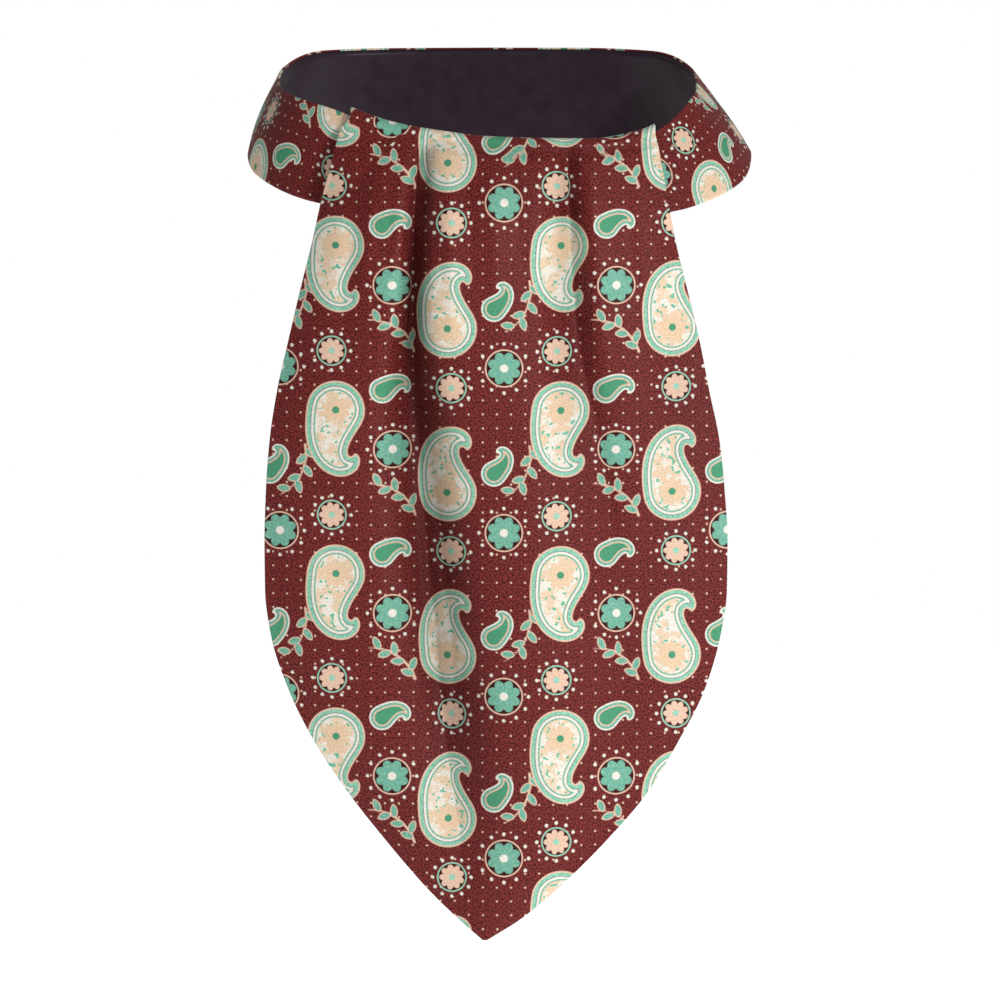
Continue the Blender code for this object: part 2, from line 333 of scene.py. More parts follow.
def hang_depth(part, hang, drop):
    """A hanging blade's distance in front of the origin, set back towards its side edges."""
    off_centre = np.abs(2 * part - 1)
    return smooth(hang, 1, drop) - smooth(hang, 2, drop) * off_centre**BLADE_CROWN_POWER


def band_section(x, down):
    """The band's inner face at x, and how much wider its layers measure there along Y."""
    bearing = throat_bearing(x, down)
    here = band_point(bearing, down)
    run = band_point(bearing + SHORT_TURN, down) - here
    widening = np.hypot(run[..., 0], run[..., 1]) / np.abs(run[..., 0])
    return here, widening


# Soft creases in the front blade, each a trough, or a ridge where its depth is below 0:
# top x, top drop, lower x, lower drop, half width, depth
BLADE_CREASES = [
    (-46.0, 14.0, -52.0, 96.0, 3.4, 0.9),
    (-39.0, 18.0, -45.0, 70.0, 2.6, -0.7),
    (-33.5, 16.0, -36.0, 58.0, 2.0, 0.6),
    (-17.0, 16.0, -14.0, 84.0, 2.6, -0.9),
    (-11.5, 18.0, -7.0, 64.0, 2.2, 0.5),
    (-2.0, 16.0, 0.0, 74.0, 3.0, -0.6),
    (5.0, 18.0, 9.0, 60.0, 2.0, 0.5),
    (13.0, 16.0, 15.0, 96.0, 3.0, -0.7),
    (31.0, 16.0, 36.0, 104.0, 3.2, -0.9),
    (38.0, 18.0, 43.0, 72.0, 2.2, 0.6),
    (46.0, 16.0, 52.0, 88.0, 3.0, 0.8),
    (-62.0, 110.0, -48.0, 190.0, 7.0, 0.9),
    (54.0, 130.0, 40.0, 214.0, 8.0, 0.8),
    (8.0, 120.0, 14.0, 206.0, 8.0, -0.8),
    (-40.0, 170.0, -18.0, 250.0, 7.0, 0.6),
]
CREASE_FADE_POWER = 0.7

# Broad ridges that stand out between the pleats: drop, left foot, crest, right foot, height
MIDDLE_RIDGE = [
    (8.0, -24.0, -4.0, 22.0, 0.6),
    (22.0, -26.0, -4.0, 23.0, 3.6),
    (45.0, -27.0, -3.0, 24.0, 6.4),
    (80.0, -27.5, 0.0, 27.0, 7.2),
    (125.0, -25.0, 8.0, 36.0, 7.4),
    (175.0, -20.5, 12.0, 40.0, 7.4),
    (215.0, -17.0, 13.0, 42.0, 5.8),
    (250.0, -12.0, 8.0, 30.0, 2.4),
    (283.5, -10.0, 0.0, 10.0, 0.0),
]
LEFT_RIDGE = [
    (8.0, -52.0, -38.0, -24.5, 0.4),
    (22.0, -54.0, -35.0, -27.0, 2.2),
    (45.0, -60.0, -35.0, -28.5, 3.6),
    (80.0, -68.0, -38.0, -29.0, 3.4),
    (125.0, -76.0, -48.0, -25.0, 2.4),
    (175.0, -74.0, -48.0, -22.0, 1.8),
    (230.0, -50.0, -34.0, -16.0, 0.8),
    (283.5, -8.0, -5.0, -2.0, 0.0),
]
RIGHT_RIDGE = [
    (8.0, 24.0, 40.0, 53.0, 0.4),
    (22.0, 24.5, 36.0, 55.0, 1.6),
    (45.0, 25.0, 38.0, 59.0, 2.2),
    (80.0, 28.0, 42.0, 67.0, 1.8),
    (125.0, 37.0, 50.0, 75.0, 1.0),
    (175.0, 42.0, 56.0, 76.0, 0.6),
    (283.5, 4.0, 5.0, 6.0, 0.0),
]

# How a ridge climbs from its left foot and falls to its right one, and how much deeper than in
# their tables the pleats are pressed below the roll
STEEP_FOOT_POWER = 3.4
GENTLE_FOOT_POWER = 2.0
PLEATS_DEEPENED = 1.35

# The left pleat runs out in a deep soft fold: drop, middle's x, half width, depth
DEEP_FOLD = [
    (8.0, -24.0, 4.0, 0.0),
    (60.0, -28.0, 4.0, 1.0),
    (90.0, -27.0, 5.0, 3.0),
    (125.0, -23.0, 8.5, 5.5),
    (175.0, -19.5, 9.5, 6.5),
    (215.0, -15.0, 9.5, 5.0),
    (250.0, -10.0, 8.0, 1.5),
    (283.5, -8.0, 8.0, 0.0),
]

# The painted shade that the deepest folds are given at most, and how deep a fold has it in full
MOST_SHADE = 0.35
SHADED_DEPTH = 9.0


def deep_fold(x, drop):
    """How deep the left pleat's soft fold presses the blade in."""
    away = (x - smooth(DEEP_FOLD, 1, drop)) / smooth(DEEP_FOLD, 2, drop)
    return smooth(DEEP_FOLD, 3, drop) * np.exp(-(away**2))


def fold_shade(points):
    """A soft painted shade, worked out from how far the folds press the front of the blade in."""
    x = points[..., 0]
    drop = -points[..., 2]
    depth = PLEATS_DEEPENED * pleat_depth(x, drop) + deep_fold(x, drop)
    return np.where(points[..., 1] < 0, MOST_SHADE * np.clip(depth / SHADED_DEPTH, 0.0, 1.0), 0.0)


def ridges(x, drop):
    """How far the broad ridges stand out: each is steepest at its feet and level at its crest."""
    height = np.zeros_like(x)
    for table in (MIDDLE_RIDGE, LEFT_RIDGE, RIGHT_RIDGE):
        left_foot, middle, right_foot, top = (smooth(table, column, drop) for column in (1, 2, 3, 4))
        climbing = np.clip((x - left_foot) / (middle - left_foot), 0.0, 1.0)
        falling = np.clip((right_foot - x) / (right_foot - middle), 0.0, 1.0)
        left_rise = 1 - (1 - climbing) ** STEEP_FOOT_POWER
        right_rise = 1 - (1 - falling) ** GENTLE_FOOT_POWER
        height = height + top * np.minimum(left_rise, right_rise)
    return height


def creases(table, x, drop):
    """How deep the soft creases press a blade in."""
    depth = np.zeros_like(x)
    for top_x, top, low_x, low, half_width, deepest in table:
        part = np.clip((drop - top) / (low - top), 0.0, 1.0)
        away = (x - mix(top_x, low_x, part)) / half_width
        fading = np.sin(np.pi * part) ** CREASE_FADE_POWER
        depth = depth + deepest * fading * np.exp(-(away**2))
    return depth


def front_blade_grid(parts, return_depths, roll_angles, drops):
    """The front blade's middle surface: up inside the ring, over the rim and down to the tip."""
    x_top = blade_x(parts, np.full_like(parts, BLADE_OUTLINE[0][0]))
    rim, widening = band_section(x_top, np.zeros_like(x_top))
    rows = []
    for depth in return_depths:
        inside = throat_depth(x_top, rim[:, 2] - depth)
        y = -inside - RETURN_OUT * widening
        rows.append(np.stack([x_top, y, rim[:, 2] - depth], axis=-1))
    for angle in roll_angles:
        out = ROLL_MIDDLE_OUT + ROLL_RADIUS * np.cos(angle)
        y = rim[:, 1] - out * widening
        z = rim[:, 2] + ROLL_RADIUS * np.sin(angle)
        drop = np.full_like(x_top, BLADE_OUTLINE[0][0])
        y = y + pleat_depth(x_top, drop) * ease(*ROLL_PLEATED, np.cos(angle))
        rows.append(np.stack([x_top, y, z], axis=-1))
    drop, part = np.meshgrid(drops, parts, indexing="ij")
    follows_rim = 1 - ease(BLADE_FALL_FROM, RIM_FOLLOWED_TO, drop)
    z = -drop + follows_rim * (rim[:, 2] - rim[:, 2].min())
    x = blade_x(part, -z)
    covers_under_blade = ease(BLADE_FALL_FROM, UNDER_BLADE_TOP - COVERS_ABOVE, drop)
    resting_out = mix(ROLL_OUT_END, OVER_UNDER_BLADE_OUT, covers_under_blade)
    resting = throat_depth(x, z) + resting_out * widening
    hanging = hang_depth(part, BLADE_HANG, -z) - PLEATS_DEEPENED * pleat_depth(x, -z)
    hanging = hanging - creases(BLADE_CREASES, x, -z) - deep_fold(x, -z)
    y = -np.maximum(hanging, resting) - ridges(x, -z)
    return np.concatenate([np.array(rows), np.stack([x, y, z], axis=-1)])


def under_blade_grid(parts, downs):
    """The under blade's middle surface, from its seam on the crossing down to its tip."""
    down, part = np.meshgrid(downs, parts, indexing="ij")
    drop = mix(UNDER_BLADE_TOP, UNDER_BLADE_TIP, down)
    outline_drop = mix(UNDER_BLADE_TOP, BLADE_OUTLINE[-1][0], down)
    x = blade_x(part, outline_drop) * UNDER_BLADE_WIDTH
    hanging = hang_depth(part, UNDER_BLADE_HANG, drop)
    widening = band_section(x, np.ones_like(x))[1]
    resting = throat_depth(x, -drop) + UNDER_BLADE_OUT * widening
    return np.stack([x, -np.maximum(hanging, resting), -drop], axis=-1)


def catmull_rom(points, steps):
    """A smooth curve through rows of values, as rows of values, with this many steps a stretch."""
    points = np.array(points, dtype=float)
    padded = np.concatenate([2 * points[:1] - points[1:2], points, 2 * points[-1:] - points[-2:-1]])
    part = np.linspace(0.0, 1.0, steps, endpoint=False)[:, None]
    rows = []
    for before, start, end, after in zip(padded, padded[1:], padded[2:], padded[3:]):
        rows.append(
            0.5
            * (
                2 * start
                + (end - before) * part
                + (2 * before - 5 * start + 4 * end - after) * part**2
                + (3 * start - before - 3 * end + after) * part**3
            )
        )
    return np.concatenate(rows + [points[-1:]])


# The layers of the print, from the ground up
LAYERS = ("stem", "leaf", "dot", "bloom", "pale_bloom", "bud", "boteh", "heart")

# In chart units: what stands for far outside, how far round a shape its distances are kept, and how
# near its edge a shape takes over from what lies beside it
FAR = 60.0
KEPT_ROUND = 5
TAKEN_BORDER = 0.6
STROKE_STEPS = 6
SHORTEST_RUN = 1e-6


def outside_stroke(rows, x, y):
    """How far places lie outside a line of varying width, given as rows of x, y and half width."""
    rows = catmull_rom(rows, STROKE_STEPS)
    outside = np.full(x.shape, FAR)
    for start, end in zip(rows, rows[1:]):
        run_x, run_y = end[0] - start[0], end[1] - start[1]
        length = max(np.hypot(run_x, run_y), SHORTEST_RUN)
        part = np.clip(((x - start[0]) * run_x + (y - start[1]) * run_y) / length**2, 0.0, 1.0)
        away_x = x - start[0] - part * run_x
        away_y = y - start[1] - part * run_y
        outside = np.minimum(outside, np.hypot(away_x, away_y) - mix(start[2], end[2], part))
    return outside


class Print:
    """The print on one cloth. In each layer every vertex has its distance outside the nearest shape,
    and in a flower's layer also its place across and down from the flower's middle.
    """

    def __init__(self, chart_x, chart_y):
        self.x = chart_x.ravel()
        self.y = chart_y.ravel()
        self.layers = {name: np.tile([FAR, 0.0, 0.0], (self.x.size, 1)) for name in LAYERS}

    def near(self, x, y, reach):
        """The vertices within reach of a place, and their own places from it."""
        away_x = self.x - x
        away_y = self.y - y
        close = (np.abs(away_x) < reach) & (np.abs(away_y) < reach)
        return np.nonzero(close)[0], away_x[close], away_y[close]

    def paint(self, layer, found, outside):
        """Lays a shape's distances into a layer, and says which of the vertices it takes over."""
        rows = self.layers[layer]
        taken = (outside < rows[found, 0]) | (outside < TAKEN_BORDER)
        rows[found, 0] = np.minimum(rows[found, 0], outside)
        return taken

    def hull(self, layer, rows):
        """A shape filled from a line of varying width."""
        low = (rows[:, :2] - rows[:, 2:3]).min(axis=0)
        high = (rows[:, :2] + rows[:, 2:3]).max(axis=0)
        middle = (low + high) / 2
        found, x, y = self.near(middle[0], middle[1], (high - low).max() / 2 + KEPT_ROUND)
        if found.size:
            self.paint(layer, found, outside_stroke(rows, x + middle[0], y + middle[1]))

    def disc(self, layer, x, y, radius):
        """A round shape."""
        found, away_x, away_y = self.near(x, y, radius + KEPT_ROUND)
        self.paint(layer, found, np.hypot(away_x, away_y) - radius)

    def flower(self, layer, x, y, reach):
        """A flower's own round of the chart."""
        found, away_x, away_y = self.near(x, y, reach + KEPT_ROUND)
        taken = self.paint(layer, found, np.hypot(away_x, away_y) - reach)
        self.layers[layer][found[taken], 1] = away_x[taken]
        self.layers[layer][found[taken], 2] = away_y[taken]


# The print is a plain half-drop repeat of common motifs, all worked out from the sizes below, in
# chart units: a teardrop whose tip curls, a small teardrop, two round flowers and a leafy sprig
COLUMN_STEP = 112.0
ROW_STEP = 164.0
LARGE_DROP = 62.0
SMALL_DROP = 27.0

# A teardrop's form, in shares of its size, and how it curls, shortens its steps and tapers
DROP_STEPS = 18
DROP_LENGTH = 1.9
DROP_WIDTH = 0.44
DROP_TIP = 0.03
DROP_CURL = 3.5
DROP_CURL_POWER = 2.2
DROP_SHORTENING = 0.5
DROP_TAPER_POWER = 0.9

# The flowers, and the ring of dots round a bloom
HEART_REACH = 15.0
BLOOM_REACH = 19.0
PALE_BLOOM_REACH = 15.0
DOT_COUNT = 12
DOT_RING = 24.5
DOT_RADIUS = 1.9

# The sprig's stem and leaves
SPRIG_LENGTH = 66.0
SPRIG_BEND = 1.3
SPRIG_STEPS = 12
SPRIG_LEAVES = 6
STEM_HALF_WIDTH = 1.3
STEM_THINNING = 0.5
LEAF_LENGTH = 13.0
LEAF_WIDTH = 3.4
LEAF_TIP_WIDTH = 0.5
LEAF_LEAN = 0.85
LEAF_STEPS = 6
LEAF_FROM = 0.15
LEAF_ROUNDED_FROM = 0.25

# Where the motifs lie from a large teardrop: shares of a row down or up, chart units aside, and turns
LARGE_DROP_LEAN = 0.35
BLOOM_DOWN = 0.24
PALE_BLOOM_ASIDE = 4.0
PALE_BLOOM_DOWN = 0.36
BUD_ASIDE = 10.0
BUD_UP = 0.12
BUD_TURN = 0.9
SPRIG_ASIDE = 24.0
SPRIG_UP = 0.32
SPRIG_TURN = 0.92


def curled_drop(x, y, size, turn, side):
    """A teardrop from its round end to its curled tip, as rows of x, y and half width."""
    part = np.linspace(0.0, 1.0, DROP_STEPS)
    heading = turn + side * DROP_CURL * part**DROP_CURL_POWER
    step = size * DROP_LENGTH / DROP_STEPS * (1 - DROP_SHORTENING * part)
    rows_x = x + np.cumsum(step * np.sin(heading)) - step[0] * np.sin(heading[0])
    rows_y = y - np.cumsum(step * np.cos(heading)) + step[0] * np.cos(heading[0])
    width = size * (DROP_WIDTH * (1 - part) ** DROP_TAPER_POWER + DROP_TIP)
    return np.stack([rows_x, rows_y, width], axis=-1)


def draw_sprig(cloth, x, y, turn, side):
    """A bent stem with leaves on both sides of it."""
    part = np.linspace(0.0, 1.0, SPRIG_STEPS)
    heading = turn + side * SPRIG_BEND * part
    step = SPRIG_LENGTH / SPRIG_STEPS
    stem_x = x + np.cumsum(step * np.sin(heading))
    stem_y = y - np.cumsum(step * np.cos(heading))
    stem_width = STEM_HALF_WIDTH - STEM_THINNING * part
    cloth.hull("stem", np.stack([stem_x, stem_y, stem_width], axis=-1))
    run = np.linspace(LEAF_FROM, 1.0, LEAF_STEPS) * LEAF_LENGTH
    rounded = np.sin(np.linspace(LEAF_ROUNDED_FROM, 1.0, LEAF_STEPS) * np.pi)
    width = LEAF_WIDTH * rounded + LEAF_TIP_WIDTH
    for leaf in range(SPRIG_LEAVES):
        place = 1 + leaf * (SPRIG_STEPS - 2) // SPRIG_LEAVES
        lean = heading[place] + (LEAF_LEAN if leaf % 2 else -LEAF_LEAN)
        leaf_x = stem_x[place] + run * np.sin(lean)
        leaf_y = stem_y[place] - run * np.cos(lean)
        cloth.hull("leaf", np.stack([leaf_x, leaf_y, width], axis=-1))


def draw_bloom(cloth, layer, x, y, reach):
    """A round flower inside a ring of dots."""
    cloth.flower(layer, x, y, reach)
    out = DOT_RING * reach / BLOOM_REACH
    for angle in np.linspace(0.0, 2 * np.pi, DOT_COUNT, endpoint=False):
        cloth.disc("dot", x + out * np.cos(angle), y + out * np.sin(angle), DOT_RADIUS)


def draw_print(cloth):
    """The whole print on one cloth. Every second column is half a step lower and turned about."""
    for column in range(int(cloth.x.min() // COLUMN_STEP) - 1, int(cloth.x.max() // COLUMN_STEP) + 3):
        odd = column % 2
        side = -1 if odd else 1
        turned = np.pi * odd
        x = column * COLUMN_STEP
        beside = x + COLUMN_STEP / 2
        for row in range(int(cloth.y.min() // ROW_STEP) - 2, int(cloth.y.max() // ROW_STEP) + 3):
            y = row * ROW_STEP + odd * ROW_STEP / 2
            cloth.hull("boteh", curled_drop(x, y, LARGE_DROP, turned - side * LARGE_DROP_LEAN, side))
            cloth.flower("heart", x, y, HEART_REACH)
            draw_bloom(cloth, "bloom", beside, y + ROW_STEP * BLOOM_DOWN, BLOOM_REACH)
            pale_x = x + side * PALE_BLOOM_ASIDE
            draw_bloom(cloth, "pale_bloom", pale_x, y + side * ROW_STEP * PALE_BLOOM_DOWN, PALE_BLOOM_REACH)
            bud = curled_drop(beside - BUD_ASIDE, y - ROW_STEP * BUD_UP, SMALL_DROP, BUD_TURN, -side)
            cloth.hull("bud", bud)
            sprig_y = y - ROW_STEP * SPRIG_UP
            draw_sprig(cloth, beside + SPRIG_ASIDE, sprig_y, turned + np.pi * SPRIG_TURN, side)


# Colours as they are seen, from 0 to 255
GROUND = (117, 43, 40)
GROUND_DEEP = (50, 11, 11)
MINT = (136, 181, 159)
MINT_DEEP = (92, 164, 136)
TEAL = (112, 161, 142)
TEAL_DEEP = (84, 144, 124)
GREEN = (66, 132, 100)
CREAM = (206, 201, 190)
PEACH = (200, 168, 147)
BEIGE = (202, 175, 146)
HAIRLINE = (96, 78, 88)
PLUM = (39, 26, 37)
PLUM_DEEP = (31, 20, 29)

# The pin dots on the ground, how soft a printed edge is, and how wide the borders are
PIN_STEP = 14.0
PIN_RADIUS = 1.0
EDGE_SOFTNESS = 0.45
LEAF_BORDER = 1.0
BLOOM_BORDER = 1.4
PETALS_INSET = 2.0
BLOTS_INSET = 11.0

# A flower's petals and centre, in shares of its size, and how many petals each kind has
PETAL_MIDDLE = 0.58
PETAL_HALF_LENGTH = 0.4
PETALS_HALF_ROUND = 2.3
CENTRE_SHARE = 0.24
BLOOM_PETALS = 8
PALE_BLOOM_PETALS = 9
HEART_PETALS = 10

# How often the inking, the threads and the weave change in one chart unit
FINE_SCALE = 0.35
BROAD_SCALE = 0.09
THREAD_SCALE = 0.58
BLOT_SCALE = 0.2
GRAIN_SCALE = 0.55
TWILL_PITCH = 2.2
CROSS_PITCH = 3.1
SATIN_GRAIN_SCALE = 1.1
SLUB_SCALE = 0.06


def linear(colour):
    """A seen colour as the linear one that a shader takes."""
    values = np.array(colour, dtype=float) / 255.0
    return (*np.where(values <= 0.04045, values / 12.92, ((values + 0.055) / 1.055) ** 2.4), 1.0)


class Nodes:
    """Short names for the nodes of one material."""

    def __init__(self, material):
        self.tree = material.node_tree

    def add(self, kind, **settings):
        node = self.tree.nodes.new(kind)
        for name, value in settings.items():
            setattr(node, name, value)
        return node

    def link(self, source, target):
        self.tree.links.new(source, target)

    def feed(self, target, value):
        if isinstance(value, bpy.types.NodeSocket):
            self.link(value, target)
        else:
            target.default_value = value

    def math(self, operation, *values):
        node = self.add("ShaderNodeMath", operation=operation)
        for target, value in zip(node.inputs, values):
            self.feed(target, value)
        return node.outputs[0]

    def split(self, vector):
        """The three values of a vector."""
        node = self.add("ShaderNodeSeparateXYZ")
        self.link(vector, node.inputs[0])
        return node.outputs

    def carried(self, name):
        """What the mesh carries under a name."""
        return self.add("ShaderNodeAttribute", attribute_name=name).outputs

    def parts(self, name):
        """The three values of a vector that the mesh carries."""
        return self.split(self.carried(name)["Vector"])

    def step(self, value, low, high, start=0.0, end=1.0):
        """From start at low to end at high, and held beyond them."""
        node = self.add("ShaderNodeMapRange", clamp=True)
        names = ("Value", "From Min", "From Max", "To Min", "To Max")
        for name, given in zip(names, (value, low, high, start, end)):
            self.feed(node.inputs[name], given)
        return node.outputs[0]

    def inside(self, distance, edge=0.0):
        """1 where a distance is under the edge, with a softly printed border."""
        return self.step(distance, edge - EDGE_SOFTNESS, edge + EDGE_SOFTNESS, 1.0, 0.0)

    def over(self, under, colour, cover):
        """One colour laid over another where it covers."""
        node = self.add("ShaderNodeMix", data_type="RGBA")
        self.feed(node.inputs["Factor"], cover)
        for name, value in (("A", under), ("B", colour)):
            self.feed(node.inputs[name], linear(value) if isinstance(value, tuple) else value)
        return node.outputs["Result"]

    def noise(self, where, scale, detail=2.0, rough=0.5):
        node = self.add("ShaderNodeTexNoise")
        self.link(where, node.inputs["Vector"])
        for name, value in (("Scale", scale), ("Detail", detail), ("Roughness", rough)):
            node.inputs[name].default_value = value
        return node.outputs["Fac"]

    def bump(self, height, strength, distance):
        """The normal of fine relief with this height."""
        node = self.add("ShaderNodeBump")
        node.inputs["Strength"].default_value = strength
        node.inputs["Distance"].default_value = distance
        self.link(height, node.inputs["Height"])
        return node.outputs[0]

    def length(self, across, down):
        """How long a step across and down is."""
        squares = [self.math("MULTIPLY", value, value) for value in (across, down)]
        return self.math("SQRT", self.math("ADD", *squares))

    def petals(self, reach, angle, count, middle, half_length, half_width):
        """The distance outside the nearest of a ring of oval petals."""
        sector = 2 * np.pi / count
        turn = self.math("SUBTRACT", self.math("FLOORED_MODULO", angle, sector), sector / 2)
        out = self.math("MULTIPLY", reach, self.math("COSINE", turn))
        beside = self.math("MULTIPLY", reach, self.math("SINE", turn))
        along = self.math("DIVIDE", self.math("SUBTRACT", out, middle), half_length)
        aside = self.math("DIVIDE", beside, half_width)
        past_edge = self.math("SUBTRACT", self.length(along, aside), 1.0)
        return self.math("MULTIPLY", past_edge, (half_length + half_width) / 2)


def flower_head(nodes, colour, layer, petal, centre, count, size):
    """A round flower with oval petals and a round centre, laid over a colour."""
    outside, across, down = nodes.parts(layer)
    reach = nodes.length(across, down)
    angle = nodes.math("ARCTAN2", down, across)
    within = nodes.inside(outside)
    half_width = size * PETALS_HALF_ROUND / count
    oval = nodes.petals(reach, angle, count, size * PETAL_MIDDLE, size * PETAL_HALF_LENGTH, half_width)
    colour = nodes.over(colour, petal, nodes.math("MULTIPLY", within, nodes.inside(oval)))
    middle = nodes.inside(reach, size * CENTRE_SHARE)
    return nodes.over(colour, centre, nodes.math("MULTIPLY", within, middle))


def print_colour(nodes, where, broad):
    """The colour of the print, laid on layer by layer."""
    speckle = nodes.step(nodes.noise(where, FINE_SCALE, 3.0, 0.65), 0.36, 0.6)
    threads = nodes.noise(where, THREAD_SCALE, 1.0)
    colour = nodes.over(GROUND_DEEP, GROUND, nodes.step(threads, 0.36, 0.62))
    mint = nodes.over(MINT_DEEP, MINT, speckle)
    teal = nodes.over(TEAL_DEEP, TEAL, speckle)
    field = nodes.over(BEIGE, CREAM, nodes.step(broad, 0.44, 0.56, 0.1, 0.95))

    pin_places = [
        nodes.math("SUBTRACT", nodes.math("FLOORED_MODULO", place, PIN_STEP), PIN_STEP / 2)
        for place in nodes.split(where)[:2]
    ]
    colour = nodes.over(colour, PEACH, nodes.inside(nodes.length(*pin_places), PIN_RADIUS))

    colour = nodes.over(colour, PEACH, nodes.inside(nodes.parts("stem")[0]))
    leaf = nodes.parts("leaf")[0]
    colour = nodes.over(colour, PEACH, nodes.inside(leaf))
    colour = nodes.over(colour, teal, nodes.inside(leaf, -LEAF_BORDER))
    colour = nodes.over(colour, CREAM, nodes.inside(nodes.parts("dot")[0]))
    for layer, rim in (("bloom", PEACH), ("pale_bloom", MINT)):
        away = nodes.parts(layer)[0]
        colour = nodes.over(colour, rim, nodes.inside(away))
        colour = nodes.over(colour, GROUND_DEEP, nodes.inside(away, -BLOOM_BORDER))
    flower_size = BLOOM_REACH - PETALS_INSET
    colour = flower_head(nodes, colour, "bloom", teal, CREAM, BLOOM_PETALS, flower_size)
    flower_size = PALE_BLOOM_REACH - PETALS_INSET
    colour = flower_head(nodes, colour, "pale_bloom", PEACH, MINT, PALE_BLOOM_PETALS, flower_size)

    # Both teardrops are printed in rings: how far out each begins, and its colour
    bud_rings = ((0.0, CREAM), (-1.5, teal), (-4.0, PEACH), (-5.4, GREEN))
    boteh_rings = (
        (0.0, PEACH), (-1.7, mint), (-5.2, HAIRLINE), (-5.8, CREAM), (-8.2, teal), (-9.8, field)
    )
    for layer, rings in (("bud", bud_rings), ("boteh", boteh_rings)):
        away = nodes.parts(layer)[0]
        for edge, laid in rings:
            colour = nodes.over(colour, laid, nodes.inside(away, edge))
    blots = nodes.step(nodes.noise(where, BLOT_SCALE, 1.0), 0.6, 0.64)
    blots = nodes.math("MULTIPLY", blots, nodes.inside(nodes.parts("boteh")[0], -BLOTS_INSET))
    colour = nodes.over(colour, MINT_DEEP, blots)
    return flower_head(nodes, colour, "heart", BEIGE, GREEN, HEART_PETALS, HEART_REACH)


def new_material(name):
    material = bpy.data.materials.new(name)
    material.use_nodes = True
    return material, Nodes(material), material.node_tree.nodes["Principled BSDF"]


def printed_silk():
    """Twill silk: the print, its weave, a soft sheen and a painted shade in the folds."""
    material, nodes, shader = new_material("printed_silk_twill")
    where = nodes.carried("chart")["Vector"]
    broad = nodes.noise(where, BROAD_SCALE)
    colour = print_colour(nodes, where, broad)
    across, down = nodes.split(where)[:2]
    twill = nodes.math("SINE", nodes.math("MULTIPLY", nodes.math("ADD", across, down), TWILL_PITCH))
    cross = nodes.math("SINE", nodes.math("MULTIPLY", nodes.math("SUBTRACT", across, down), CROSS_PITCH))
    weave = nodes.math("ADD", nodes.math("MULTIPLY", twill, 0.6), nodes.math("MULTIPLY", cross, 0.4))
    grain = nodes.noise(where, GRAIN_SCALE, 1.0)
    shade = nodes.math("ADD", nodes.math("MULTIPLY", weave, 0.1), nodes.step(grain, 0.3, 0.7, 0.84, 1.13))
    # Painted shade: the colour is darkened where the folds of the front blade run deep
    lit = nodes.math("SUBTRACT", 1.0, nodes.carried("fold_shade")["Fac"])
    shade = nodes.math("MULTIPLY", shade, lit)
    grey = nodes.add("ShaderNodeCombineXYZ")
    for target in grey.inputs:
        nodes.link(shade, target)
    tint = nodes.add("ShaderNodeMix", data_type="RGBA", blend_type="MULTIPLY")
    tint.inputs["Factor"].default_value = 1.0
    nodes.link(colour, tint.inputs["A"])
    nodes.link(grey.outputs[0], tint.inputs["B"])
    nodes.link(tint.outputs["Result"], shader.inputs["Base Color"])
    height = nodes.math("ADD", weave, nodes.math("MULTIPLY", grain, 2.0))
    nodes.link(nodes.bump(height, 0.25, 0.00012), shader.inputs["Normal"])
    nodes.link(nodes.step(broad, 0.3, 0.7, 0.46, 0.56), shader.inputs["Roughness"])
    shader.inputs["Sheen Weight"].default_value = 0.02
    shader.inputs["Sheen Roughness"].default_value = 0.4
    shader.inputs["Specular IOR Level"].default_value = 0.1
    return material


def plum_satin():
    """The lining: dark plum satin with a fine grain."""
    material, nodes, shader = new_material("plum_satin_lining")
    where = nodes.carried("chart")["Vector"]
    grain = nodes.noise(where, SATIN_GRAIN_SCALE)
    slubs = nodes.noise(where, SLUB_SCALE)
    colour = nodes.over(PLUM_DEEP, PLUM, nodes.step(nodes.math("ADD", grain, slubs), 0.8, 1.2))
    nodes.link(colour, shader.inputs["Base Color"])
    nodes.link(nodes.bump(grain, 0.3, 0.0001), shader.inputs["Normal"])
    nodes.link(nodes.step(slubs, 0.3, 0.7, 0.42, 0.5), shader.inputs["Roughness"])
    shader.inputs["Sheen Weight"].default_value = 0.03
    shader.inputs["Specular IOR Level"].default_value = 0.16
    return material


def cloth_mesh(name, points, material, chart_x, chart_y, printed=True, round_the_neck=False, shaded=False):
    """One face of cloth from a grid of points in millimetres, with the print at each vertex."""
    row_count, column_count = points.shape[:2]
    mesh = bpy.data.meshes.new(name)
    rows = np.arange(row_count - 1)[:, None] * column_count
    strips = column_count if round_the_neck else column_count - 1
    column = np.arange(strips)[None, :]
    beside = (column + 1) % column_count
    corners = np.stack(
        [rows + column, rows + column_count + column, rows + column_count + beside, rows + beside], axis=-1
    ).reshape(-1)
    mesh.vertices.add(row_count * column_count)
    mesh.vertices.foreach_set("co", (points * MM).astype(np.float32).ravel())
    mesh.loops.add(corners.size)
    mesh.loops.foreach_set("vertex_index", corners.astype(np.int32))
    mesh.polygons.add(corners.size // 4)
    mesh.polygons.foreach_set("loop_start", np.arange(0, corners.size, 4, dtype=np.int32))
    mesh.update(calc_edges=True)
    mesh.shade_smooth()
    mesh.materials.append(material)
    chart = np.stack([chart_x.ravel(), chart_y.ravel(), np.zeros(chart_x.size)], axis=-1)
    carried = {"chart": chart}
    if printed:
        cloth = Print(chart_x, chart_y)
        draw_print(cloth)
        carried.update(cloth.layers)
    # The painted shade in the folds, given only to a face that is shaded
    shade = mesh.attributes.new("fold_shade", "FLOAT", "POINT")
    if shaded:
        shade.data.foreach_set("value", fold_shade(points).astype(np.float32).ravel())
    for layer, values in carried.items():
        attribute = mesh.attributes.new(layer, "FLOAT_VECTOR", "POINT")
        attribute.data.foreach_set("vector", values.astype(np.float32).ravel())
    piece = bpy.data.objects.new(name, mesh)
    bpy.context.scene.collection.objects.link(piece)
    return piece


